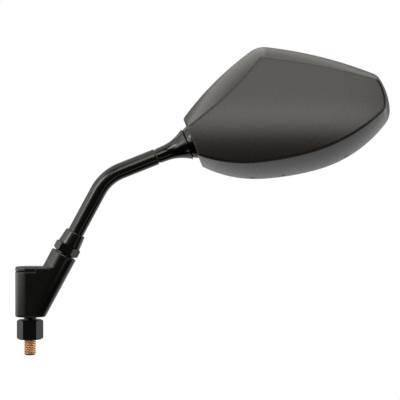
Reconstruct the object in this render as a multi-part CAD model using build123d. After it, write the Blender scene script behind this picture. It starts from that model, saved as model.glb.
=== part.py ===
from build123d import *
from math import cos, degrees, radians, sin, sqrt, tan
import os

os.makedirs("parts", exist_ok=True)

# Rider's left motorcycle mirror. Lengths are in millimetres, angles in degrees.
# The origin is on the stud axis at the underside of the hex adapter. +Z runs up the stud,
# +X along the arm to the head, and -Y is the side of the head that faces forward.

# Fits and clearances, radial unless said otherwise
RUNNING_FIT = 0.05
PRESSED_FIT = 0.02
HOLE_FIT = 0.25
SWING_GAP = 0.4
PARTING_GAP = 0.2
TIGHT_GAP = 0.05

# Mounting stud and hex adapter
STUD_D = 10.0
STUD_LENGTH = 13.0
STUD_CHAMFER = 1.2
STUD_SHANK_D = 9.0
STUD_SEAT_DEPTH = 11.0
SHANK_ENTRY_D = 12.4
HEX_AF = 19.0
HEX_HEIGHT = 16.6
HEX_TURN = 5.0
HEX_FACE_SHARE = 0.95
HEX_BEVEL_ANGLE = 30.0
NECK_D = 10.4
NECK_GAP = 2.2
SHAFT_D = 8.0
SHAFT_BEYOND_NUT = 0.4

# Base pivot stack inside the block
LOWER_WASHER_D = 14.0
WASHER_THICKNESS = 1.2
LOWER_RECESS_DEPTH = 3.0
BUSH_D = 11.0
BUSH_LENGTH = 24.2
UPPER_WASHER_D = 15.2
DISC_HEIGHT = 1.2
DISC_SHEET = 0.8
PIVOT_DISC_D = 15.0
PIVOT_DISC_COUNT = 3
PIVOT_NUT_AF = 13.0
PIVOT_NUT_HEIGHT = 5.0
NUT_WELL_D = 17.2

# Base block, its cap and the inclined boss
BLOCK_HEIGHT = 41.9
BLOCK_INNER_SIDE = 12.3
BLOCK_FOOT_ROUND = 1.0
BLOCK_TOP_ROUND = 1.8
BOSS_D = 21.9
BOSS_LENGTH = 60.0
BOSS_ROUND = 0.6
BOSS_AXIS_HEIGHT = 18.1
BOSS_ANGLE = 61.7
WEB_ROUND = 13.0
CAP_HEIGHT = 3.9
CAP_REACH = 5.8
CAP_SEAT_BEVEL = 0.8
CAP_SKIRT_DEPTH = 3.2
CAP_SKIRT_WALL = 0.8

# Arm clamp: collet and gland nut on the boss axis
ARM_SOCKET_DEPTH = 26.0
COLLET_D = 16.0
COLLET_LENGTH = 6.5
COLLET_BEVEL = 0.7
COLLET_SLOT = 1.0
COLLET_SEAT_DEPTH = 15.0
GLAND_GAP = 1.2
GLAND_HEX_HEIGHT = 7.7
GLAND_COLLAR_LENGTH = 11.4
GLAND_COLLAR_BASE_D = 19.0
GLAND_COLLAR_TOP_D = 16.8
GLAND_COLLAR_ROUND = 0.8

# Arm tube: lengths run from the foot of the boss axis to the bend corner, then to the ball centre
TUBE_D = 13.5
TUBE_WALL = 1.75
ARM_RISE = 133.1
ARM_REACH = 81.8
REACH_ANGLE = 21.8
BEND_RADIUS = 37.0
TUBE_END_ROUND = 0.4

# Ball stud and trumpet cover, on the axis of the upper tube, measured back from the ball centre
BALL_D = 15.0
BALL_NECK_D = 9.0
STUD_COLLAR_D = 11.4
STUD_COLLAR_LENGTH = 1.4
STUD_SHANK_LENGTH = 18.0
COVER_LENGTH = 26.4
COVER_RIM_SETBACK = 8.6
COVER_SMALL_D = 12.5
COVER_STRAIGHT = 6.0
COVER_STRAIGHT_D = 13.0
COVER_RIM_D = 27.3
COVER_RIM_ROUND = 0.35

# Ball socket, liner and the spring pack that presses on the ball
DOME_D = 29.4
DOME_MOUTH_D = 17.4
SEAT_MOUTH_ANGLE = 46.0
LINER_THICKNESS = 2.0
LINER_MOUTH_ANGLE = 50.0
LINER_END_ANGLE = 88.0
FLANGE_D = 31.8
FLANGE_THICKNESS = 2.1
BARREL_WALL = 1.8
BARREL_LENGTH = 11.3
CUP_FRONT = 3.4
CUP_REAR = 9.2
CUP_BORE_D = 6.0
CUP_DISC_D = 17.6
CUP_DISC_BORE_D = 9.2
CUP_DISC_COUNT = 2
PLATE_THICKNESS = 1.6
PLATE_D = 22.0
PLATE_EAR_D = 5.4
SCREW_SPAN = 37.6
SCREW_D = 3.0
SCREW_HEAD_D = 5.6
SCREW_HEAD_HEIGHT = 2.2
SCREW_LENGTH = 10.0
SCREW_POST_D = 5.2

# Housing: corners of the rim, along the arm axis and across it from the ball centre, and how far
# the front crease stands in from each. Each side is an arc that bulges by the named height from
# the chord of its corners.
END_FACE = -3.8
RIM_DEPTH = 20.0
CREASE_DEPTH = -16.7
FRONT_DEPTH = -22.1
RIM_CORNERS = {
    "inner_top": (END_FACE, 22.3),
    "peak": (77.8, 56.0),
    "shoulder": (162.3, -4.0),
    "tip": (159.4, -42.0),
    "belly": (86.0, -60.4),
    "heel": (39.0, -50.0),
    "inner_low": (END_FACE, -21.6),
}
CREASE_SHIFTS = {
    "inner_top": (0.0, -10.9),
    "peak": (-2.9, -12.8),
    "shoulder": (-5.5, -5.9),
    "tip": (-6.3, 8.6),
    "belly": (-4.3, 15.1),
    "heel": (0.7, 13.7),
    "inner_low": (0.0, 10.0),
}
RIM_BULGES = {"inner_top": 3.8, "peak": 3.8, "shoulder": 3.5, "belly": 1.3}
CREASE_BULGES = {"inner_top": -1.5, "peak": 3.0, "shoulder": 2.0, "belly": 1.0}
RIM_ROUNDS = {"inner_top": 3.0, "peak": 20.0, "shoulder": 10.0, "tip": 18.0, "inner_low": 3.0}
CREASE_ROUNDS = {"inner_top": 2.0, "peak": 6.0, "shoulder": 5.0, "tip": 6.0, "inner_low": 2.0}
BAND_POWER = 1.4
CROWN_APEX = 21.4
CROWN_CENTRE = 79.0
CROWN_RISE = -7.6
CROWN_LEAN = 8.0
CROWN_LONG_RADIUS = 600.0
CROWN_CROSS_RADIUS = 210.0
HOUSING_WALL = 2.8
CREASE_BREAK = 0.8
RIM_ROUND = 0.8

# Mirror glass, foam pad and clipped carrier in the rim
POCKET_INSET = 3.4
POCKET_END_INSET = 8.0
POCKET_FLOOR = 10.6
GLASS_GAP = 0.4
GLASS_RADIUS = 1400.0
GLASS_RECESS = 1.2
GLASS_THICKNESS = 2.5
PAD_THICKNESS = 0.8
PAD_INSET = 1.2
BOND_GAP = 0.03
CARRIER_THICKNESS = 1.8
CLIP_STATIONS = ((112.0, -60.2), (57.0, -55.0), (32.0, -47.8))
CLIP_DEPTH = 13.3
CLIP_WIDTH = 2.6
CLIP_THICKNESS = 1.0
CLIP_LENGTH = 14.0
CLIP_SLOT_GAP = 0.4
CLIP_COVER = 1.2


def ring(outer_d, inner_d, bottom, top):
    """Plain ring about Z."""
    face = Circle(outer_d / 2) - Circle(inner_d / 2)
    return extrude(Pos(0, 0, bottom) * face, top - bottom)


def rod(diameter, bottom, top):
    """Plain cylinder about Z."""
    return extrude(Pos(0, 0, bottom) * Circle(diameter / 2), top - bottom)


def turned(*edges):
    """Solid of revolution about Z from edges drawn with x as radius and y as height."""
    return revolve(Plane.XZ * make_face(Curve() + list(edges)), Axis.Z)


def hexagon(across_flats, bottom, top):
    """Hexagon prism about Z with a flat toward -Y and turned bevels on its corners."""
    corner = across_flats / sqrt(3)
    face = across_flats / 2 * HEX_FACE_SHARE
    drop = (corner - face) * tan(radians(HEX_BEVEL_ANGLE))
    prism = extrude(Pos(0, 0, bottom) * RegularPolygon(corner, 6), top - bottom)
    bevel = turned(Polyline((0, bottom), (face, bottom), (corner, bottom + drop),
                            (corner, top - drop), (face, top), (0, top), close=True))
    return prism & bevel


def disc_stack(outer_d, inner_d, bottom, count):
    """Conical spring washers stacked point to point from the given height."""
    dish = DISC_HEIGHT - DISC_SHEET
    discs = []
    for index in range(count):
        floor = bottom + index * DISC_HEIGHT
        inner_lift = dish if index % 2 == 0 else 0
        outer_lift = dish - inner_lift
        outline = Polyline((inner_d / 2, floor + inner_lift), (outer_d / 2, floor + outer_lift),
                           (outer_d / 2, floor + outer_lift + DISC_SHEET),
                           (inner_d / 2, floor + inner_lift + DISC_SHEET), close=True)
        discs.append(turned(outline))
    return Compound(children=discs)


def on_sphere(radius, angle):
    """Point of a sphere about the ball centre, the angle counted from the arm side."""
    return radius * sin(radians(angle)), -radius * cos(radians(angle))


def sphere_arc(radius, first_angle, last_angle):
    """Arc of a sphere's outline between two angles from the arm side."""
    middle = (first_angle + last_angle) / 2
    return ThreePointArc(on_sphere(radius, first_angle), on_sphere(radius, middle),
                         on_sphere(radius, last_angle))


# Heights and axes that follow from the sizes above
block_foot = HEX_HEIGHT + NECK_GAP
block_top = block_foot + BLOCK_HEIGHT
recess_top = block_foot + LOWER_RECESS_DEPTH
neck_top = recess_top - WASHER_THICKNESS
well_floor = recess_top + BUSH_LENGTH
discs_foot = well_floor + WASHER_THICKNESS
nut_foot = discs_foot + PIVOT_DISC_COUNT * DISC_HEIGHT
nut_top = nut_foot + PIVOT_NUT_HEIGHT
cap_foot = block_top - CAP_HEIGHT
shaft_hole_d = SHAFT_D + 2 * HOLE_FIT

rise_direction = Vector(cos(radians(BOSS_ANGLE)), 0, sin(radians(BOSS_ANGLE)))
reach_direction = Vector(cos(radians(REACH_ANGLE)), 0, sin(radians(REACH_ANGLE)))
boss_origin = Vector(0, 0, BOSS_AXIS_HEIGHT)
bend_corner = boss_origin + rise_direction * ARM_RISE
ball_centre = bend_corner + reach_direction * ARM_REACH
boss_frame = Plane(origin=boss_origin, x_dir=rise_direction.cross(Vector(0, -1, 0)), z_dir=rise_direction)
ball_frame = Plane(origin=ball_centre, x_dir=(0, -1, 0), z_dir=reach_direction)
head_frame = Plane(origin=ball_centre, x_dir=reach_direction, z_dir=(0, -1, 0))

# Threaded stud: yellow zinc plated M10, its plain shank pressed into the adapter's underside
threaded_stud = rod(STUD_D, -STUD_LENGTH, 0)
threaded_stud = chamfer(threaded_stud.edges().sort_by(Axis.Z)[0], STUD_CHAMFER)
threaded_stud += rod(STUD_SHANK_D, 0, STUD_SEAT_DEPTH)

# Hex adapter: turned and blackened steel, with the neck and shaft that the base turns on
hex_adapter = Rot(0, 0, HEX_TURN) * hexagon(HEX_AF, 0, HEX_HEIGHT)
hex_adapter += rod(NECK_D, HEX_HEIGHT, neck_top)
hex_adapter += rod(SHAFT_D, neck_top, nut_top + SHAFT_BEYOND_NUT)
hex_adapter -= rod(STUD_SHANK_D + 2 * PRESSED_FIT, 0, STUD_SEAT_DEPTH)
entry_r = SHANK_ENTRY_D / 2
hex_adapter -= turned(Polyline((0, 0), (entry_r, 0), (0, entry_r), close=True))

# Base pivot stack: washers, bush, disc springs and nut
lower_washer = ring(LOWER_WASHER_D, shaft_hole_d, neck_top, recess_top)
pivot_bush = ring(BUSH_D, SHAFT_D + 2 * RUNNING_FIT, recess_top, well_floor)
upper_washer = ring(UPPER_WASHER_D, shaft_hole_d, well_floor, discs_foot)
disc_springs = disc_stack(PIVOT_DISC_D, shaft_hole_d, discs_foot, PIVOT_DISC_COUNT)
pivot_nut = hexagon(PIVOT_NUT_AF, nut_foot, nut_top)
pivot_nut -= rod(SHAFT_D + 2 * PRESSED_FIT, nut_foot, nut_top)

# Base block: cast body with a round inner side, flat sides flush with the boss along the arm
half_depth = BOSS_D / 2
slope = tan(radians(BOSS_ANGLE))
web_foot = (block_foot - BOSS_AXIS_HEIGHT) / slope
web_corner = Vector((block_top - BOSS_AXIS_HEIGHT) / slope, block_top)
web_tangent = WEB_ROUND / tan(radians((180 - BOSS_ANGLE) / 2))
web_start = web_corner - Vector(web_tangent, 0)
web_end = web_corner + Vector(rise_direction.X, rise_direction.Z) * web_tangent
web_edges = [
    Line((web_foot, block_foot), (-BLOCK_INNER_SIDE, block_foot)),
    Line((-BLOCK_INNER_SIDE, block_foot), (-BLOCK_INNER_SIDE, block_top)),
    Line((-BLOCK_INNER_SIDE, block_top), web_start),
    TangentArc(web_start, web_end, tangent=(1, 0)),
    Line(web_end, (web_foot, block_foot)),
]
web = extrude(Plane.XZ * make_face(Curve() + web_edges), half_depth, both=True)
plan_reach = web_end.X + BLOCK_INNER_SIDE
plan = Pos(plan_reach / 2 - BLOCK_INNER_SIDE, 0) * Rectangle(plan_reach, BOSS_D)
plan = fillet(plan.vertices().group_by(Axis.X)[0], half_depth - TIGHT_GAP)
body = web & extrude(Pos(0, 0, block_foot) * plan, BOSS_LENGTH + BLOCK_HEIGHT)
body = fillet(body.edges().filter_by_position(Axis.Z, block_top - TIGHT_GAP, block_top + TIGHT_GAP)
              .filter_by(lambda edge: edge.center().X < web_start.X - TIGHT_GAP), BLOCK_TOP_ROUND)
boss = chamfer(rod(BOSS_D, -BOSS_D, BOSS_LENGTH).edges().sort_by(Axis.Z)[-1], BOSS_ROUND)
boss = boss_frame * Rot(0, 0, -90) * boss
block_outside = body + split(boss, Plane.XY.offset(block_foot), keep=Keep.TOP)
block_outside = fillet(block_outside.faces().sort_by(Axis.Z)[0].outer_wire().edges(), BLOCK_FOOT_ROUND)
cap_room = Pos(CAP_REACH, 0, cap_foot) * Box(BOSS_LENGTH, BOSS_LENGTH, BOSS_LENGTH,
                                             align=(Align.MAX, Align.CENTER, Align.MIN))
collet_foot = BOSS_LENGTH - COLLET_SEAT_DEPTH
base_block = block_outside - cap_room
cap_seat = base_block.faces().filter_by_position(Axis.Z, cap_foot - TIGHT_GAP, cap_foot + TIGHT_GAP)[0]
seat_edges = cap_seat.edges().filter_by(lambda edge: edge.center().X < CAP_REACH - TIGHT_GAP)
base_block = chamfer(seat_edges, CAP_SEAT_BEVEL)
base_block -= rod(LOWER_WASHER_D + 2 * HOLE_FIT, block_foot, recess_top)
base_block -= rod(BUSH_D + 2 * PRESSED_FIT, recess_top, well_floor)
base_block -= rod(NUT_WELL_D, well_floor, block_top)
base_block -= boss_frame * rod(TUBE_D + 2 * RUNNING_FIT, BOSS_LENGTH - ARM_SOCKET_DEPTH, BOSS_LENGTH)
base_block -= boss_frame * rod(COLLET_D + 2 * RUNNING_FIT, collet_foot, BOSS_LENGTH)

# Pivot cap: moulded lid over the pivot nut, with a skirt that plugs into the well
plug_d = NUT_WELL_D - 2 * RUNNING_FIT
cap_under = cap_foot + TIGHT_GAP
cap_part = Pos(-PARTING_GAP, 0, TIGHT_GAP) * cap_room + rod(plug_d, cap_under, block_top)
pivot_cap = block_outside & cap_part
pivot_cap += ring(plug_d, plug_d - 2 * CAP_SKIRT_WALL, cap_foot - CAP_SKIRT_DEPTH, cap_under)

# Arm collet: split ring squeezed between the boss seat and the gland nut
tube_hole_d = TUBE_D + 2 * RUNNING_FIT
arm_collet = ring(COLLET_D, tube_hole_d, collet_foot, collet_foot + COLLET_LENGTH)
collet_rims = arm_collet.edges().filter_by(GeomType.CIRCLE).group_by(SortBy.RADIUS)[-1]
arm_collet = chamfer(collet_rims, COLLET_BEVEL)
arm_collet -= Pos(-COLLET_D / 2, 0, collet_foot + COLLET_LENGTH / 2) * Box(COLLET_D, COLLET_SLOT,
                                                                        COLLET_LENGTH)

# Arm gland nut: hex with a threaded spigot below and a tapered collar above
gland_foot = BOSS_LENGTH + GLAND_GAP
gland_shoulder = gland_foot + GLAND_HEX_HEIGHT
gland_top = gland_shoulder + GLAND_COLLAR_LENGTH
arm_gland_nut = hexagon(HEX_AF, gland_foot, gland_shoulder)
arm_gland_nut += rod(COLLET_D, collet_foot + COLLET_LENGTH, gland_foot)
collar = turned(Polyline((0, gland_shoulder), (GLAND_COLLAR_BASE_D / 2, gland_shoulder),
                         (GLAND_COLLAR_TOP_D / 2, gland_top), (0, gland_top), close=True))
arm_gland_nut += fillet(collar.edges().sort_by(Axis.Z)[-1], GLAND_COLLAR_ROUND)
arm_gland_nut -= rod(tube_hole_d, collet_foot + COLLET_LENGTH, gland_top)

# Arm tube: steel tube with one bend, its foot in the boss and its head around the ball stud
cover_foot = -COVER_RIM_SETBACK - COVER_LENGTH
tube_end = cover_foot - STUD_COLLAR_LENGTH
tube_start = BOSS_LENGTH - ARM_SOCKET_DEPTH + HOLE_FIT
tube_path = FilletPolyline(boss_origin + rise_direction * tube_start, bend_corner,
                           ball_centre + reach_direction * tube_end, radius=BEND_RADIUS)
tube_bore_d = TUBE_D - 2 * TUBE_WALL
tube_plane = Plane(origin=tube_path @ 0, z_dir=rise_direction)
arm_tube = sweep(tube_plane * Circle(TUBE_D / 2), path=tube_path)
tube_rims = arm_tube.edges().filter_by(GeomType.CIRCLE).sort_by_distance(ball_centre)
arm_tube = chamfer(tube_rims[0], TUBE_END_ROUND)
arm_tube -= sweep(tube_plane * Circle(tube_bore_d / 2), path=tube_path)

# Ball stud: forged steel, its shank pressed into the tube and its ball in the socket
ball_r = BALL_D / 2
shank_r = tube_bore_d / 2 - PRESSED_FIT
neck_r = BALL_NECK_D / 2
dome_r = DOME_D / 2
neck_step = -dome_r - SWING_GAP
ball_back = -sqrt(ball_r ** 2 - neck_r ** 2)
ball_stud = turned(
    Polyline((0, ball_r), (0, tube_end - STUD_SHANK_LENGTH), (shank_r, tube_end - STUD_SHANK_LENGTH),
             (shank_r, tube_end), (STUD_COLLAR_D / 2, tube_end), (STUD_COLLAR_D / 2, cover_foot),
             (shank_r, cover_foot), (shank_r, neck_step), (neck_r, neck_step), (neck_r, ball_back)),
    ThreePointArc((neck_r, ball_back), (ball_r, 0), (0, ball_r)),
)

# Joint cover: glossy moulded trumpet with a hollow mouth that swings clear of the dome
mouth_r = dome_r + SWING_GAP
cover_bore = shank_r + PRESSED_FIT
rim_height = -COVER_RIM_SETBACK
rim_inner = sqrt(mouth_r ** 2 - rim_height ** 2)
bore_height = -sqrt(mouth_r ** 2 - cover_bore ** 2)
mouth_middle = Vector(rim_inner, rim_height) + Vector(cover_bore, bore_height)
mouth_middle = mouth_middle.normalized() * mouth_r
flare_start = Vector(COVER_STRAIGHT_D / 2, cover_foot + COVER_STRAIGHT)
small_end = Vector(COVER_SMALL_D / 2, cover_foot)
rim_end = Vector(COVER_RIM_D / 2, rim_height)
joint_cover = turned(
    Line((cover_bore, cover_foot), small_end),
    Line(small_end, flare_start),
    TangentArc(flare_start, rim_end, tangent=flare_start - small_end),
    Line(rim_end, (rim_inner, rim_height)),
    ThreePointArc((rim_inner, rim_height), mouth_middle, (cover_bore, bore_height)),
    Line((cover_bore, bore_height), (cover_bore, cover_foot)),
)
cover_rims = joint_cover.edges().group_by(Axis.Z)[-1].sort_by(SortBy.RADIUS)
joint_cover = fillet(cover_rims[-1], COVER_RIM_ROUND)

# Ball liner: low-friction zone ring between the ball and the socket seat
liner_inner = ball_r + RUNNING_FIT
liner_outer = liner_inner + LINER_THICKNESS
ball_liner = turned(
    sphere_arc(liner_outer, LINER_MOUTH_ANGLE, LINER_END_ANGLE),
    Line(on_sphere(liner_outer, LINER_END_ANGLE), on_sphere(liner_inner, LINER_END_ANGLE)),
    sphere_arc(liner_inner, LINER_END_ANGLE, LINER_MOUTH_ANGLE),
    Line(on_sphere(liner_inner, LINER_MOUTH_ANGLE), on_sphere(liner_outer, LINER_MOUTH_ANGLE)),
)

# Ball socket: moulded dome, flange behind the housing's end wall and barrel for the spring pack
seat_r = liner_outer + RUNNING_FIT
flange_face = END_FACE + HOUSING_WALL
flange_back = flange_face + FLANGE_THICKNESS
barrel_r = seat_r + BARREL_WALL
dome_mouth = (DOME_MOUTH_D / 2, -sqrt(dome_r ** 2 - (DOME_MOUTH_D / 2) ** 2))
dome_foot = (sqrt(dome_r ** 2 - flange_face ** 2), flange_face)
dome_middle = (Vector(*dome_mouth) + Vector(*dome_foot)).normalized() * dome_r
ball_socket = turned(
    ThreePointArc(dome_mouth, dome_middle, dome_foot),
    Polyline(dome_foot, (FLANGE_D / 2, flange_face), (FLANGE_D / 2, flange_back),
             (barrel_r, flange_back), (barrel_r, BARREL_LENGTH), (seat_r, BARREL_LENGTH), (seat_r, 0)),
    sphere_arc(seat_r, 90, SEAT_MOUTH_ANGLE),
    Line(on_sphere(seat_r, SEAT_MOUTH_ANGLE), dome_mouth),
)

# Pressure cup, disc springs, plate and screws: the pack that presses the cup on the ball
cone_tip = (ball_r + RUNNING_FIT) * sqrt(2)
cup_bore = CUP_BORE_D / 2
pressure_cup = turned(Polyline((cone_tip - CUP_FRONT, CUP_FRONT), (seat_r - RUNNING_FIT, CUP_FRONT),
                               (seat_r - RUNNING_FIT, CUP_REAR), (cup_bore, CUP_REAR),
                               (cup_bore, cone_tip - cup_bore), close=True))
cup_springs = disc_stack(CUP_DISC_D, CUP_DISC_BORE_D, CUP_REAR, CUP_DISC_COUNT)
plate_face = CUP_REAR + CUP_DISC_COUNT * DISC_HEIGHT
plate_back = plate_face + PLATE_THICKNESS
plate_outline = Circle(PLATE_D / 2) + SlotCenterToCenter(SCREW_SPAN, PLATE_EAR_D, rotation=90)
for side in (-1, 1):
    plate_outline -= Pos(0, side * SCREW_SPAN / 2) * Circle(SCREW_D / 2 + HOLE_FIT)
retainer_plate = extrude(Pos(0, 0, plate_face) * plate_outline, PLATE_THICKNESS)
screw = rod(SCREW_D, plate_back - SCREW_LENGTH, plate_back)
screw += fillet(rod(SCREW_HEAD_D, plate_back, plate_back + SCREW_HEAD_HEIGHT).edges().sort_by(Axis.Z)[-1],
                SCREW_HEAD_HEIGHT / 2)
retainer_screws = Compound(children=[Pos(0, side * SCREW_SPAN / 2, 0) * screw for side in (-1, 1)])

# Housing sections: names of the corners in order round the outline
CORNER_NAMES = ("inner_top", "peak", "shoulder", "tip", "belly", "heel", "inner_low")


def blend(first, second, share):
    """Value between two others, by share of the way."""
    return first + (second - first) * share


def leaned(height, angle):
    """Place over the middle of the crown at a height, leaned back about the level by an angle."""
    lean = Rot(0, 0, -REACH_ANGLE) * Rot(-angle, 0, 0) * Rot(0, 0, REACH_ANGLE)
    return Pos(CROWN_CENTRE, CROWN_RISE, height) * lean


def bulged(start, end, height):
    """Arc from start to end whose middle stands off the chord on its left side."""
    chord = end - start
    side = Vector(-chord.Y, chord.X).normalized()
    return ThreePointArc(start, (start + end) / 2 + side * height, end)


def head_section(share, depth, inset=0.0, end_inset=None):
    """Face of the housing outline, share 0 at the rim and 1 at the crease, moved in by the inset."""
    end_inset = inset if end_inset is None else end_inset
    plain = [Vector(*RIM_CORNERS[name]) + Vector(*CREASE_SHIFTS[name]) * share for name in CORNER_NAMES]
    corners = {}
    for index, name in enumerate(CORNER_NAMES):
        here = plain[index]
        before = here - plain[index - 1]
        after = plain[(index + 1) % len(plain)] - here
        normal_before = Vector(before.Y, -before.X).normalized()
        normal_after = Vector(after.Y, -after.X).normalized()
        inset_before = end_inset if name == "inner_top" else inset
        inset_after = end_inset if name == "inner_low" else inset
        along = normal_before.X * normal_after.Y - normal_before.Y * normal_after.X
        shift_x = (inset_before * normal_after.Y - inset_after * normal_before.Y) / along
        shift_y = (normal_before.X * inset_after - normal_after.X * inset_before) / along
        corners[name] = here + Vector(shift_x, shift_y)
    bulges = {name: blend(RIM_BULGES[name], CREASE_BULGES[name], share) for name in RIM_BULGES}
    under = bulged(corners["belly"], corners["heel"], bulges["belly"])
    edges = [
        bulged(corners["inner_top"], corners["peak"], bulges["inner_top"]),
        bulged(corners["peak"], corners["shoulder"], bulges["peak"]),
        bulged(corners["shoulder"], corners["tip"], bulges["shoulder"]),
        TangentArc(corners["belly"], corners["tip"], tangent=-(under % 0)),
        under,
        TangentArc(corners["heel"], corners["inner_low"], tangent=under % 1),
        Line(corners["inner_low"], corners["inner_top"]),
    ]
    face = make_face(Curve() + edges)
    for name in RIM_ROUNDS:
        radius = blend(RIM_ROUNDS[name], CREASE_ROUNDS[name], share) - inset
        if radius > RIM_ROUND:
            face = fillet(face.vertices().sort_by_distance(corners[name])[0], radius)
    return leaned(-depth, CROWN_LEAN * share) * Pos(-CROWN_CENTRE, -CROWN_RISE, 0) * face


def crown(apex):
    """Cushion whose front is the crowned face of the head, level on the motorcycle and leaned back."""
    half_width = RIM_CORNERS["peak"][1] - RIM_CORNERS["belly"][1]
    drop = CROWN_CROSS_RADIUS - sqrt(CROWN_CROSS_RADIUS ** 2 - half_width ** 2)
    foot = -drop - half_width
    profile = [
        ThreePointArc((-half_width, -drop), (0, 0), (half_width, -drop)),
        Polyline((half_width, -drop), (half_width, foot), (-half_width, foot), (-half_width, -drop)),
    ]
    sketch = Plane.YZ * make_face(Curve() + profile)
    turn_axis = Axis((0, 0, -CROWN_LONG_RADIUS), (0, 1, 0))
    reach = 2 * (RIM_CORNERS["shoulder"][0] - CROWN_CENTRE)
    half_turn = degrees(reach / CROWN_LONG_RADIUS)
    cushion = revolve(sketch.rotate(turn_axis, -half_turn), turn_axis, 2 * half_turn)
    return leaned(apex, CROWN_LEAN) * Rot(0, 0, -REACH_ANGLE) * cushion


def head_body(inset, rim_depth):
    """Solid of the head inside the given inset, from the rim depth to the crowned face."""
    stations = (RIM_DEPTH, (RIM_DEPTH + CREASE_DEPTH) / 2, FRONT_DEPTH)
    sections = []
    for depth in stations:
        share = ((RIM_DEPTH - depth) / (RIM_DEPTH - CREASE_DEPTH)) ** BAND_POWER
        sections.append(head_section(share, depth, inset))
    solid = loft(sections) & crown(CROWN_APEX - inset)
    if rim_depth < RIM_DEPTH:
        solid = split(solid, Plane.XY.offset(-rim_depth), keep=Keep.TOP)
    return solid


# Housing: moulded shell, its end wall bored for the dome and its rim stepped for the glass
head_outside = head_body(0, RIM_DEPTH)
dome_hole_d = DOME_D + 2 * HOLE_FIT
pocket = extrude(head_section(0, RIM_DEPTH, POCKET_INSET, POCKET_END_INSET), RIM_DEPTH - POCKET_FLOOR)
cavity = head_body(HOUSING_WALL, POCKET_FLOOR)
along_arm = Plane(origin=(0, 0, 0), x_dir=(0, 0, 1), z_dir=(1, 0, 0))
socket_room = along_arm * rod(FLANGE_D + 2 * HOLE_FIT, flange_face, plate_face)
posts = Part()
pilots = Part()
for side in (-1, 1):
    post_place = Pos(0, side * SCREW_SPAN / 2, 0) * along_arm
    posts += post_place * rod(SCREW_POST_D, flange_face, plate_face)
    pilots += post_place * rod(SCREW_D + 2 * PRESSED_FIT, plate_back - SCREW_LENGTH - HOLE_FIT, plate_face)
housing = head_outside - cavity - pocket - socket_room
housing += posts & head_outside
housing -= pilots
housing -= along_arm * rod(dome_hole_d, END_FACE - HOUSING_WALL, flange_face)
clip_bars = Part()
for station in CLIP_STATIONS:
    clip_place = Pos(*station, -CLIP_DEPTH)
    clip_bars += clip_place * Box(CLIP_WIDTH, CLIP_LENGTH, CLIP_THICKNESS)
    housing -= clip_place * Box(CLIP_WIDTH + 2 * CLIP_SLOT_GAP, CLIP_LENGTH,
                                CLIP_THICKNESS + 2 * CLIP_SLOT_GAP)
crown_face = housing.faces().sort_by(Axis.Z)[-1]
housing = chamfer(crown_face.outer_wire().edges(), CREASE_BREAK)
rim_face = housing.faces().sort_by(Axis.Z)[0]
housing = fillet(rim_face.outer_wire().edges(), RIM_ROUND)

# Glass carrier: tray behind the glass, its clips caught in slots of the lower rim
glass_apex = RIM_DEPTH - GLASS_RECESS


def lens(thickness, outer_apex, extra_inset):
    """Sheet of the glass outline, dished to the glass radius, its outer face at the given apex."""
    outline = head_section(0, RIM_DEPTH, POCKET_INSET + GLASS_GAP + extra_inset,
                           POCKET_END_INSET + GLASS_GAP + extra_inset)
    blank = extrude(outline, 2 * RIM_DEPTH)
    dish_centre = Pos(CROWN_CENTRE, CROWN_RISE, GLASS_RADIUS - outer_apex)
    outer = dish_centre * Sphere(GLASS_RADIUS)
    inner = dish_centre * Sphere(GLASS_RADIUS - thickness)
    return blank & outer - inner


pad_apex = glass_apex - GLASS_THICKNESS - BOND_GAP
carrier_apex = pad_apex - PAD_THICKNESS - BOND_GAP
mirror_glass = lens(GLASS_THICKNESS, glass_apex, 0)
glass_pad = lens(PAD_THICKNESS, pad_apex, PAD_INSET)
glass_carrier = lens(CARRIER_THICKNESS, carrier_apex, 0)
glass_carrier += clip_bars & head_body(CLIP_COVER, RIM_DEPTH)

nodes = {
    "threaded_stud": threaded_stud,
    "hex_adapter": hex_adapter,
    "lower_washer": lower_washer,
    "pivot_bush": pivot_bush,
    "upper_washer": upper_washer,
    "disc_springs": disc_springs,
    "pivot_nut": pivot_nut,
    "base_block": base_block,
    "pivot_cap": pivot_cap,
    "arm_collet": boss_frame * arm_collet,
    "arm_gland_nut": boss_frame * arm_gland_nut,
    "arm_tube": arm_tube,
    "ball_stud": ball_frame * ball_stud,
    "joint_cover": ball_frame * joint_cover,
    "ball_liner": ball_frame * ball_liner,
    "ball_socket": ball_frame * ball_socket,
    "pressure_cup": ball_frame * pressure_cup,
    "cup_springs": ball_frame * cup_springs,
    "retainer_plate": ball_frame * retainer_plate,
    "retainer_screws": ball_frame * retainer_screws,
    "housing": head_frame * housing,
    "glass_carrier": head_frame * glass_carrier,
    "glass_pad": head_frame * glass_pad,
    "mirror_glass": head_frame * mirror_glass,
}
for name, shape in nodes.items():
    export_step(shape, f"parts/{name}.step")
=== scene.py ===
from math import cos, pi, sin
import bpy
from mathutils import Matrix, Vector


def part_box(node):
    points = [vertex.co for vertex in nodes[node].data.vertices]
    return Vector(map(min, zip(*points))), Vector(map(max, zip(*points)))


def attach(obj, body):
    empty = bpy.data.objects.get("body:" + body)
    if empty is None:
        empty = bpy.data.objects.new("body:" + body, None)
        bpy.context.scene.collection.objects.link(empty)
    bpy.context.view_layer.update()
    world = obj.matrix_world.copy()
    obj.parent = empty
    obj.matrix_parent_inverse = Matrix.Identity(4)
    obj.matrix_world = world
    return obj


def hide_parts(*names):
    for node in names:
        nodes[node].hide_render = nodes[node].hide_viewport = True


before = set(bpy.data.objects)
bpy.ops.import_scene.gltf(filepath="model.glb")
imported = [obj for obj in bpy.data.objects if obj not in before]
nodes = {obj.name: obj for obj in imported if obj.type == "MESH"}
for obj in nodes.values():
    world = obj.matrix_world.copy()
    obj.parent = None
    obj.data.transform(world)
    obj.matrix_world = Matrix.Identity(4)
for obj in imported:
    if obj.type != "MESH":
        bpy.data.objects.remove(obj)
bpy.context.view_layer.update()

from types import SimpleNamespace

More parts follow.
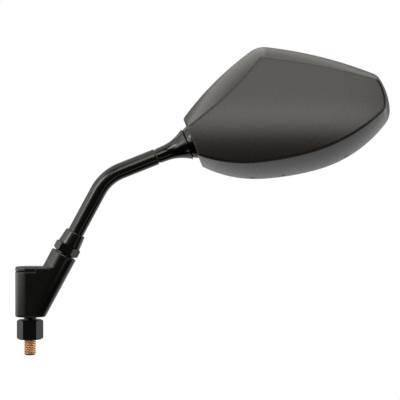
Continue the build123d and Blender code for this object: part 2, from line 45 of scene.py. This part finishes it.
import bmesh
import bpy
from mathutils import Vector

# Rider's left motorcycle mirror. Lengths are in metres unless a name ends in _MM, and angles are in
# radians. The origin is on the stud axis under the hex adapter, +Z runs up the stud and +X along the
# arm to the head. The camera stands on the -Y side and sees the back of the head. The glass faces +Y.

scene = bpy.context.scene
scene.view_settings.view_transform = "Standard"


# Studio: a white floor and white surround as the camera sees them, a dark front behind the camera,
# and soft panels above, to the left and to the right that draw the highlights on the black parts.
CAMERA_PLACE = (0.1416, -1.1, 0.1160)
CAMERA_LENS_MM = 118.8
CAMERA_SENSOR_MM = 36.0
SOFTBOX_WHITE = "#FFFFF6"
PANEL_WHITE = "#FFFFFA"
RIGHT_WARM_WHITE = "#FFF6F0"
STRIP_BROWN = "#E0C4B0"
FRONT_WALL = 0.010
BACK_WALL = 0.30
WALL_TURN_START = -0.2
WALL_TURN_END = 0.6
FLOOR_LEVEL = -0.0132
FLOOR_HALF_SIZE = 2.5
FLOOR_GLOW = 0.75
FLOOR_GLOW_START = 0.0
FLOOR_GLOW_FULL = 0.06
SHOWN_WHITE = 1.0


def linear(code):
    """Linear colour, fully opaque, of an sRGB hex code."""
    shares = [int(code[place:place + 2], 16) / 255 for place in (1, 3, 5)]
    return tuple(s / 12.92 if s <= 0.04045 else ((s + 0.055) / 1.055) ** 2.4 for s in shares) + (1.0,)


def add_node(tree, kind, inputs=None, **settings):
    """A new shader node with its settings, its input values and its incoming links."""
    made = tree.nodes.new(kind)
    for name, value in settings.items():
        setattr(made, name, value)
    for socket, value in (inputs or {}).items():
        if isinstance(value, bpy.types.NodeSocket):
            tree.links.new(value, made.inputs[socket])
        else:
            made.inputs[socket].default_value = value
    return made


def add_softbox(name, middle, aim, size, radiance, tint):
    """A rectangular panel that shines towards its aim and that the camera itself does not see."""
    panel = bpy.data.lights.new(name, "AREA")
    panel.shape = "RECTANGLE"
    panel.size, panel.size_y = size
    panel.energy = radiance * panel.size * panel.size_y * pi
    panel.color = linear(tint)[:3]
    lamp = bpy.data.objects.new(name, panel)
    lamp.location = middle
    lamp.rotation_euler = (Vector(aim) - Vector(middle)).to_track_quat("-Z", "Y").to_euler()
    lamp.visible_camera = False
    scene.collection.objects.link(lamp)


lens = bpy.data.cameras.new("camera")
lens.lens = CAMERA_LENS_MM
lens.sensor_width = CAMERA_SENSOR_MM
camera = bpy.data.objects.new("camera", lens)
camera.location = CAMERA_PLACE
camera.rotation_euler = (pi / 2, 0, 0)
scene.collection.objects.link(camera)
scene.camera = camera

# Lamps before the mirror: the broad sheen on the front face of the head, strongest on its left.
add_softbox("low_front_softbox", middle=(0.225, -0.55, 0.36), aim=(0.225, 0, 0.17),
            size=(0.65, 0.16), radiance=3.7, tint=SOFTBOX_WHITE)
add_softbox("high_front_softbox", middle=(0.225, -0.40, 0.56), aim=(0.225, 0, 0.17),
            size=(0.65, 0.32), radiance=2.5, tint=SOFTBOX_WHITE)
add_softbox("left_front_softbox", middle=(-0.40, -0.51, 0.475), aim=(0.1, 0, 0.155),
            size=(0.35, 0.25), radiance=5.2, tint=SOFTBOX_WHITE)
add_softbox("right_front_softbox", middle=(0.75, -0.32, 0.20), aim=(0.25, 0, 0.19),
            size=(0.45, 0.45), radiance=1.0, tint=SOFTBOX_WHITE)

# Lamps above and behind: the top and left bands of the head, its crease and the top of the arm.
add_softbox("overhead_softbox", middle=(0.35, -0.02, 0.75), aim=(0.35, -0.02, 0),
            size=(0.5, 0.55), radiance=1.8, tint=SOFTBOX_WHITE)
add_softbox("upper_left_softbox", middle=(-0.30, -0.08, 0.78), aim=(-0.30, -0.08, 0),
            size=(0.8, 0.5), radiance=1.35, tint=SOFTBOX_WHITE)
add_softbox("back_softbox", middle=(-0.275, 0.70, 0.90), aim=(-0.275, 0, 0.2),
            size=(1.05, 0.65), radiance=0.95, tint=SOFTBOX_WHITE)
add_softbox("right_back_softbox", middle=(0.575, 0.70, 0.90), aim=(0.575, 0, 0.2),
            size=(0.65, 0.65), radiance=0.53, tint=SOFTBOX_WHITE)

# Panels on the left: the long highlights on the block, the arm, the trumpet and the dome. The low
# fore panel stands before the long one and adds to it where the trumpet mirrors it.
add_softbox("left_panel", middle=(-0.55, -0.32, 0.295), aim=(0.05, -0.32, 0.295),
            size=(0.88, 0.35), radiance=2.1, tint=PANEL_WHITE)
add_softbox("low_fore_panel", middle=(-0.54, -0.49, 0.1925), aim=(0.05, -0.49, 0.1925),
            size=(0.54, 0.145), radiance=2.3, tint=PANEL_WHITE)
add_softbox("high_left_panel", middle=(-0.55, -0.30, 0.60), aim=(0.05, -0.30, 0.40),
            size=(0.84, 0.26), radiance=1.4, tint=PANEL_WHITE)
add_softbox("back_left_panel", middle=(-0.55, 0.34, 0.42), aim=(0.05, 0.1, 0.1),
            size=(0.40, 0.5), radiance=0.75, tint=PANEL_WHITE)
add_softbox("near_left_panel", middle=(-0.35, -0.55, 0.12), aim=(0.0, 0, 0.08),
            size=(0.2, 0.25), radiance=0.9, tint=PANEL_WHITE)
add_softbox("low_left_panel", middle=(-0.55, -0.05, 0.05), aim=(0.05, -0.05, 0.05),
            size=(0.94, 0.14), radiance=1.35, tint=PANEL_WHITE)

# A panel on the right, a strip on the floor that draws a brown line along the arm, and two cards that
# light the stud.
add_softbox("right_panel", middle=(0.85, 0.40, 0.10), aim=(0.1, 0, 0.1),
            size=(0.5, 0.4), radiance=0.7, tint=RIGHT_WARM_WHITE)
add_softbox("low_front_strip", middle=(0.395, -0.145, -0.012), aim=(0.395, -0.145, 0.1),
            size=(0.57, 0.06), radiance=1.2, tint=STRIP_BROWN)
add_softbox("stud_card", middle=(0.0, -0.035, -0.0127), aim=(0.0, -0.035, 0.1),
            size=(0.06, 0.03), radiance=1.2, tint=PANEL_WHITE)
add_softbox("stud_side_card", middle=(0.020, 0.010, -0.008), aim=(0.0, 0.010, -0.008),
            size=(0.046, 0.009), radiance=2.6, tint=PANEL_WHITE)

# Walls: white to the camera, and to the mirror dark in front and lighter behind.
world = bpy.data.worlds.new("studio_walls")
scene.world = world
world.use_nodes = True
walls = world.node_tree
walls.nodes.clear()
gaze = add_node(walls, "ShaderNodeTexCoord").outputs["Generated"]
gaze_parts = add_node(walls, "ShaderNodeSeparateXYZ", {"Vector": gaze})
wall_light = add_node(walls, "ShaderNodeMapRange", {
    "Value": gaze_parts.outputs["Y"], "From Min": WALL_TURN_START, "From Max": WALL_TURN_END,
    "To Min": FRONT_WALL, "To Max": BACK_WALL}, interpolation_type="SMOOTHSTEP")
ray = add_node(walls, "ShaderNodeLightPath")
shown_light = add_node(walls, "ShaderNodeMix", {
    "Factor": ray.outputs["Is Camera Ray"], "A": wall_light.outputs["Result"], "B": SHOWN_WHITE})
backdrop = add_node(walls, "ShaderNodeBackground", {
    "Color": linear("#FFFFFF"), "Strength": shown_light.outputs["Result"]})
add_node(walls, "ShaderNodeOutputWorld", {"Surface": backdrop.outputs["Background"]})

# Floor: white to the camera, and to the mirror it glows only behind the stud.
floor_mesh = bpy.data.meshes.new("floor")
edge = FLOOR_HALF_SIZE
floor_corners = [(x, y, FLOOR_LEVEL) for x, y in ((-edge, -edge), (edge, -edge), (edge, edge), (-edge, edge))]
floor_mesh.from_pydata(floor_corners, [], [(0, 1, 2, 3)])
floor = bpy.data.objects.new("floor", floor_mesh)
scene.collection.objects.link(floor)
floor_paint = bpy.data.materials.new("white studio floor")
floor_paint.use_nodes = True
floor_tree = floor_paint.node_tree
floor_tree.nodes.clear()
floor_place = add_node(floor_tree, "ShaderNodeTexCoord").outputs["Object"]
floor_parts = add_node(floor_tree, "ShaderNodeSeparateXYZ", {"Vector": floor_place})
floor_pool = add_node(floor_tree, "ShaderNodeMapRange", {
    "Value": floor_parts.outputs["Y"], "From Min": FLOOR_GLOW_START, "From Max": FLOOR_GLOW_FULL,
    "To Min": 0.0, "To Max": FLOOR_GLOW}, interpolation_type="SMOOTHSTEP")
floor_ray = add_node(floor_tree, "ShaderNodeLightPath")
floor_light = add_node(floor_tree, "ShaderNodeMix", {
    "Factor": floor_ray.outputs["Is Camera Ray"], "A": floor_pool.outputs["Result"], "B": SHOWN_WHITE})
floor_glow = add_node(floor_tree, "ShaderNodeEmission", {"Strength": floor_light.outputs["Result"]})
add_node(floor_tree, "ShaderNodeOutputMaterial", {"Surface": floor_glow.outputs["Emission"]})
floor_mesh.materials.append(floor_paint)


# Threaded stud: an M10 steel stud, rolled thread and yellow zinc plate, its plain shank pressed
# into the hex adapter. The coarse thread of 1.5 mm pitch is made here as a helix on the CAD stud.
THREAD_PITCH = 0.0015
THREAD_DEPTH = 0.00092
CREST_SHARE = 0.4
ROOT_SHARE = 0.15
TIP_CHAMFER = 0.0012
SHANK_RADIUS = 0.0045
STEPS_ROUND = 72
STEPS_PER_PITCH = 12
SHARP_ANGLE = 0.6
stud_low, stud_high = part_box("threaded_stud")
stud_tip = stud_low.z
stud_radius = stud_high.x
shank_top = stud_high.z


def thread_radius(height, angle):
    """Radius of the threaded stud at a height and an angle: flat crests, sloping flanks, flat roots."""
    turn = (height / THREAD_PITCH - angle / (2 * pi)) % 1.0
    off_crest = abs(turn - 0.5) - CREST_SHARE / 2
    flank_share = (1 - CREST_SHARE - ROOT_SHARE) / 2
    sunk = min(max(off_crest / flank_share, 0.0), 1.0)
    chamfer_radius = stud_radius - TIP_CHAMFER + height - stud_tip
    return min(stud_radius - THREAD_DEPTH * sunk, chamfer_radius)


stud_builder = bmesh.new()
thread_steps = round(-stud_tip / THREAD_PITCH * STEPS_PER_PITCH)
thread_levels = [stud_tip + step * THREAD_PITCH / STEPS_PER_PITCH for step in range(thread_steps)]
stud_rings = []
for height in thread_levels + [0.0, shank_top]:
    circle = []
    for step in range(STEPS_ROUND):
        angle = 2 * pi * step / STEPS_ROUND
        radius = thread_radius(height, angle) if height < 0 else SHANK_RADIUS
        circle.append(stud_builder.verts.new((radius * cos(angle), radius * sin(angle), height)))
    stud_rings.append(circle)
for lower, upper in zip(stud_rings, stud_rings[1:]):
    for step in range(STEPS_ROUND):
        after = (step + 1) % STEPS_ROUND
        stud_builder.faces.new((lower[step], lower[after], upper[after], upper[step]))
stud_builder.faces.new(list(reversed(stud_rings[0])))
stud_builder.faces.new(stud_rings[-1])
stud_mesh = bpy.data.meshes.new("threaded_stud_rolled")
stud_builder.to_mesh(stud_mesh)
stud_builder.free()
stud_mesh.shade_smooth()
stud_mesh.set_sharp_from_angle(angle=SHARP_ANGLE)
stud = bpy.data.objects.new("threaded_stud_rolled", stud_mesh)
scene.collection.objects.link(stud)

# Yellow zinc plate: a passivated zinc film on steel. It gives a brassy metal that drifts between
# straw and copper in soft patches, a little dull, and the roots of the thread are painted darker brown as
# shade.
ZINC_STRAW = "#F4D2A4"
ZINC_COPPER = "#E6B48A"
# Painted shade: the darker brown drawn into the roots of the thread.
ZINC_ROOT_SHADE = "#A87048"
ZINC_PATCH_MM = 4.0
ZINC_ROUGHNESS = (0.55, 0.65)
CREST_EDGE_SHARE = 0.1
MM_PER_METRE = 1000
# The Mix node numbers its sockets over all kinds of data, and these are the ones for colours.
COLOUR_A = 6
COLOUR_B = 7
COLOUR_OUT = 2


def start_finish(name):
    """A new material: its surface inputs and the place on the piece that its patterns follow."""
    material = bpy.data.materials.new(name)
    material.use_nodes = True
    tree = material.node_tree
    tree.nodes.clear()
    shader = add_node(tree, "ShaderNodeBsdfPrincipled")
    add_node(tree, "ShaderNodeOutputMaterial", {"Surface": shader.outputs["BSDF"]})
    place = add_node(tree, "ShaderNodeTexCoord").outputs["Object"]
    return SimpleNamespace(material=material, tree=tree, surface=shader.inputs, place=place)


def drift_roughness(finish, patch_mm, roughness, detail=2.0):
    """Lets the roughness drift between two values over patches of a size, and returns the patches."""
    noise = add_node(finish.tree, "ShaderNodeTexNoise", {
        "Vector": finish.place, "Scale": MM_PER_METRE / patch_mm, "Detail": detail})
    patches = noise.outputs["Fac"]
    drift = add_node(finish.tree, "ShaderNodeMapRange", {
        "Value": patches, "To Min": roughness[0], "To Max": roughness[1]})
    finish.tree.links.new(drift.outputs["Result"], finish.surface["Roughness"])
    return patches


zinc = start_finish("yellow zinc plated steel")
zinc_patches = drift_roughness(zinc, ZINC_PATCH_MM, ZINC_ROUGHNESS, detail=3.0)
zinc_film = add_node(zinc.tree, "ShaderNodeMix", {
    "Factor": zinc_patches, COLOUR_A: linear(ZINC_STRAW), COLOUR_B: linear(ZINC_COPPER)}, data_type="RGBA")
# The distance from the axis of the stud tells the crests from the roots, and the roots get painted shade.
zinc_level = add_node(zinc.tree, "ShaderNodeVectorMath", {
    0: zinc.place, 1: (1.0, 1.0, 0.0)}, operation="MULTIPLY")
zinc_radius = add_node(zinc.tree, "ShaderNodeVectorMath", {
    0: zinc_level.outputs["Vector"]}, operation="LENGTH")
zinc_root_shade_mask = add_node(zinc.tree, "ShaderNodeMapRange", {
    "Value": zinc_radius.outputs["Value"], "From Min": stud_radius - THREAD_DEPTH,
    "From Max": stud_radius - CREST_EDGE_SHARE * THREAD_DEPTH})
zinc_film_and_root_shade = add_node(zinc.tree, "ShaderNodeMix", {
    "Factor": zinc_root_shade_mask.outputs["Result"], COLOUR_A: linear(ZINC_ROOT_SHADE),
    COLOUR_B: zinc_film.outputs[COLOUR_OUT]}, data_type="RGBA")
zinc.tree.links.new(zinc_film_and_root_shade.outputs[COLOUR_OUT], zinc.surface["Base Color"])
zinc.surface["Metallic"].default_value = 1.0
stud_mesh.materials.append(zinc.material)
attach(stud, "base")
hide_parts("threaded_stud")


# Hex adapter: turned from hexagon steel bar and powder coated black. The stud is pressed into it
# from below, and its shaft above the neck is what the base turns on.
COAT_BLACK = "#0B0B0B"
COAT_PATCH_MM = 6.0
COAT_ROUGHNESS = (0.14, 0.24)


def dress(node_name, finish):
    """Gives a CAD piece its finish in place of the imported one."""
    surfaces = nodes[node_name].data.materials
    surfaces.clear()
    surfaces.append(finish.material)


# Black powder coat: polyester baked on steel. It is a deep black with a clear, slightly broken gloss.
coat = start_finish("black powder coat")
drift_roughness(coat, COAT_PATCH_MM, COAT_ROUGHNESS, detail=4.0)
coat.surface["Base Color"].default_value = linear(COAT_BLACK)
dress("hex_adapter", coat)


# Base pivot stack: an upper washer, disc springs and a lock nut of plain steel on the adapter's shaft,
# a lower washer of acetal, and a sintered bronze bush. All of it is inside the block.
STEEL_GREY = "#BDBDBB"
STEEL_MARK_MM = 0.8
STEEL_ROUGHNESS = (0.25, 0.4)
ACETAL_WHITE = "#DEDCD6"
ACETAL_PATCH_MM = 3.0
ACETAL_ROUGHNESS = (0.35, 0.5)
BRONZE_LIGHT = "#B38A4E"
BRONZE_DARK = "#8A6536"
BRONZE_SPECK_MM = 0.4
BRONZE_ROUGHNESS = 0.45

# Plain drawn steel: bright stock. It is a neutral grey metal with drawing marks, which are drawn
# some five times as coarse as real ones, so that they show.
steel = start_finish("plain drawn steel")
drift_roughness(steel, STEEL_MARK_MM, STEEL_ROUGHNESS)
steel.surface["Base Color"].default_value = linear(STEEL_GREY)
steel.surface["Metallic"].default_value = 1.0
for name in ("upper_washer", "disc_springs", "pivot_nut"):
    dress(name, steel)

# Natural acetal: moulded bearing plastic. It is milky white, slightly waxy.
acetal = start_finish("natural acetal")
drift_roughness(acetal, ACETAL_PATCH_MM, ACETAL_ROUGHNESS)
acetal.surface["Base Color"].default_value = linear(ACETAL_WHITE)
dress("lower_washer", acetal)

# Sintered bronze: pressed powder soaked with oil. It is a brown metal, dull and speckled, with the
# specks of its powder drawn about four times as coarse as real ones.
bronze = start_finish("sintered bronze")
bronze_specks = add_node(bronze.tree, "ShaderNodeTexNoise", {
    "Vector": bronze.place, "Scale": MM_PER_METRE / BRONZE_SPECK_MM, "Detail": 2.0})
bronze_colour = add_node(bronze.tree, "ShaderNodeMix", {
    "Factor": bronze_specks.outputs["Fac"], COLOUR_A: linear(BRONZE_LIGHT),
    COLOUR_B: linear(BRONZE_DARK)}, data_type="RGBA")
bronze.tree.links.new(bronze_colour.outputs[COLOUR_OUT], bronze.surface["Base Color"])
bronze.surface["Metallic"].default_value = 1.0
bronze.surface["Roughness"].default_value = BRONZE_ROUGHNESS
dress("pivot_bush", bronze)


# Base block and pivot cap: an aluminium casting with a boss along the arm, and the moulded lid that is
# pressed in over the pivot nut. Both are painted alike.
PAINT_BLACK = "#0D0D0C"
PAINT_RIPPLE_MM = 1.5
PAINT_RIPPLE_HEIGHT = 0.0002
PAINT_RIPPLE_STRENGTH = 0.05
PAINT_ROUGHNESS = (0.20, 0.28)
PAINT_EDGE_RADIUS = 0.001
EDGE_SAMPLES = 8

# Satin black paint: sprayed and baked. It is a satin black with the faint ripple of the spray, and it
# draws back from the edges, which look a little rounder than they were cast.
paint = start_finish("satin black paint")
paint_ripple = drift_roughness(paint, PAINT_RIPPLE_MM, PAINT_ROUGHNESS, detail=1.0)
paint_edges = add_node(paint.tree, "ShaderNodeBevel", {"Radius": PAINT_EDGE_RADIUS}, samples=EDGE_SAMPLES)
paint_bump = add_node(paint.tree, "ShaderNodeBump", {
    "Height": paint_ripple, "Strength": PAINT_RIPPLE_STRENGTH, "Distance": PAINT_RIPPLE_HEIGHT,
    "Normal": paint_edges.outputs["Normal"]})
paint.tree.links.new(paint_bump.outputs["Normal"], paint.surface["Normal"])
paint.surface["Base Color"].default_value = linear(PAINT_BLACK)
dress("base_block", paint)
dress("pivot_cap", paint)


# Arm tube, collet and gland nut: a steel tube with one bend and a hexagon nut with a tapered collar,
# both powder coated. The nut squeezes the collet, a split ring of acetal, on the foot of the tube.
dress("arm_tube", coat)
dress("arm_gland_nut", coat)
dress("arm_collet", acetal)


# Joint cover and ball socket: mouldings in glossy black plastic, a trumpet on the end of the arm and
# the dome on the head that turns inside its rim.
GLOSS_BLACK = "#080808"
GLOSS_PATCH_MM = 8.0
GLOSS_ROUGHNESS = (0.10, 0.16)

# Gloss black moulding: from polished mould faces. It mirrors the panels almost sharply.
gloss = start_finish("gloss black moulding")
drift_roughness(gloss, GLOSS_PATCH_MM, GLOSS_ROUGHNESS)
gloss.surface["Base Color"].default_value = linear(GLOSS_BLACK)
dress("joint_cover", gloss)
dress("ball_socket", gloss)


# Ball joint inside the head: a forged ball stud in the end of the tube, an acetal liner and pressure
# cup, disc springs, and the plate and two screws that hold the pack in the housing.
PHOSPHATE_BLACK = "#161615"
PHOSPHATE_GRAIN_MM = 0.5
PHOSPHATE_ROUGHNESS = (0.45, 0.6)

# Phosphated steel: dark crystals on the forging, soaked with oil. It is a dull, nearly black grey,
# and its crystals are drawn many times as coarse as real ones.
phosphate = start_finish("phosphated steel")
drift_roughness(phosphate, PHOSPHATE_GRAIN_MM, PHOSPHATE_ROUGHNESS)
phosphate.surface["Base Color"].default_value = linear(PHOSPHATE_BLACK)
dress("ball_stud", phosphate)
for name in ("cup_springs", "retainer_plate", "retainer_screws"):
    dress(name, steel)
dress("ball_liner", acetal)
dress("pressure_cup", acetal)


# Housing and glass carrier: injection mouldings in black plastic. The housing's outside comes from
# a spark-eroded mould, and the carrier clips into slots along the housing's rim.
SATIN_BLACK = "#15100E"
SATIN_GRAIN_MM = 0.6
SATIN_GRAIN_HEIGHT = 0.0001
SATIN_GRAIN_STRENGTH = 0.005
SATIN_ROUGHNESS = (0.25, 0.29)
CREASE_RADIUS = 0.0024
CREASE_SOFT_START = -0.002
CREASE_SOFT_FULL = -0.006
MATT_BLACK = "#060606"
MATT_GRAIN_MM = 0.8
MATT_ROUGHNESS = (0.65, 0.8)
# Specular turned low as painted shade in the clip slots.
MATT_SHADE_SPECULAR = 0.2
# These are the Mix node's sockets for vectors.
VECTOR_A = 4
VECTOR_B = 5
VECTOR_OUT = 1

# Satin black moulding: it has an even sheen with no mark, and its eroded grain is drawn about three
# times as coarse as a real one. The crease round the front is softened, and the rim behind is not.
satin = start_finish("satin black moulding")
satin_grain = drift_roughness(satin, SATIN_GRAIN_MM, SATIN_ROUGHNESS)
satin_edges = add_node(satin.tree, "ShaderNodeBevel", {"Radius": CREASE_RADIUS}, samples=EDGE_SAMPLES)
satin_face = add_node(satin.tree, "ShaderNodeNewGeometry")
satin_parts = add_node(satin.tree, "ShaderNodeSeparateXYZ", {"Vector": satin.place})
satin_front = add_node(satin.tree, "ShaderNodeMapRange", {
    "Value": satin_parts.outputs["Y"], "From Min": CREASE_SOFT_START, "From Max": CREASE_SOFT_FULL})
satin_normal = add_node(satin.tree, "ShaderNodeMix", {
    "Factor": satin_front.outputs["Result"], VECTOR_A: satin_face.outputs["Normal"],
    VECTOR_B: satin_edges.outputs["Normal"]}, data_type="VECTOR")
satin_bump = add_node(satin.tree, "ShaderNodeBump", {
    "Height": satin_grain, "Strength": SATIN_GRAIN_STRENGTH, "Distance": SATIN_GRAIN_HEIGHT,
    "Normal": satin_normal.outputs[VECTOR_OUT]})
satin.tree.links.new(satin_bump.outputs["Normal"], satin.surface["Normal"])
satin.surface["Base Color"].default_value = linear(SATIN_BLACK)
dress("housing", satin)

# Matt black moulding: straight from a rough mould. It is a dead black of its own, and its specular is
# turned low so that the clip slots show painted shade. Its grain is drawn about four times as coarse as a
# real one.
matt = start_finish("matt black moulding")
drift_roughness(matt, MATT_GRAIN_MM, MATT_ROUGHNESS)
matt.surface["Base Color"].default_value = linear(MATT_BLACK)
matt.surface["Specular IOR Level"].default_value = MATT_SHADE_SPECULAR
dress("glass_carrier", matt)


# Mirror glass and pad: dished glass silvered on its back, held to the carrier by a sheet of foam.
# The front is ground to one radius, so its mesh gets the exact normals of that dish.
GLASS_RADIUS = 1.4
WELD_DISTANCE = 1e-6
FRONT_FACING = 0.9
SILVER_TINT = "#E6EBEC"
SILVER_HAZE_MM = 30.0
SILVER_ROUGHNESS = (0.01, 0.025)
FOAM_BLACK = "#1C1C1C"
FOAM_CELL_MM = 0.6
FOAM_CELL_HEIGHT = 0.0002
FOAM_CELL_STRENGTH = 0.4
FOAM_ROUGHNESS = 0.9

# Black foam sheet: polyethylene foam cut from a block. It is a dry, dull black with pitted faces.
foam = start_finish("black foam sheet")
foam_cells = add_node(foam.tree, "ShaderNodeTexVoronoi", {
    "Vector": foam.place, "Scale": MM_PER_METRE / FOAM_CELL_MM})
foam_bump = add_node(foam.tree, "ShaderNodeBump", {
    "Height": foam_cells.outputs["Distance"], "Strength": FOAM_CELL_STRENGTH, "Distance": FOAM_CELL_HEIGHT})
foam.tree.links.new(foam_bump.outputs["Normal"], foam.surface["Normal"])
foam.surface["Base Color"].default_value = linear(FOAM_BLACK)
foam.surface["Roughness"].default_value = FOAM_ROUGHNESS
dress("glass_pad", foam)

# Silvered glass: a metal film behind clear glass. It mirrors the room with a faint cool tint.
silver = start_finish("silvered mirror glass")
drift_roughness(silver, SILVER_HAZE_MM, SILVER_ROUGHNESS, detail=3.0)
silver.surface["Base Color"].default_value = linear(SILVER_TINT)
silver.surface["Metallic"].default_value = 1.0

packed_glass = nodes["mirror_glass"].data
apex = max((vertex.co for vertex in packed_glass.vertices), key=lambda place: place.y)
dish_centre = Vector((apex.x, apex.y - GLASS_RADIUS, apex.z))
glass_builder = bmesh.new()
glass_builder.from_mesh(packed_glass)
bmesh.ops.remove_doubles(glass_builder, verts=glass_builder.verts, dist=WELD_DISTANCE)
glass_mesh = bpy.data.meshes.new("mirror_glass_ground")
glass_builder.to_mesh(glass_mesh)
glass_builder.free()
glass_mesh.shade_smooth()
glass_normals = []
for face in glass_mesh.polygons:
    on_dish = face.normal.y > FRONT_FACING
    for corner in face.loop_indices:
        place = glass_mesh.vertices[glass_mesh.loops[corner].vertex_index].co
        glass_normals.append((place - dish_centre).normalized() if on_dish else face.normal.copy())
glass_mesh.normals_split_custom_set(glass_normals)
glass_mesh.materials.clear()
glass_mesh.materials.append(silver.material)
glass = bpy.data.objects.new("mirror_glass_ground", glass_mesh)
scene.collection.objects.link(glass)
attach(glass, "head")
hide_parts("mirror_glass")
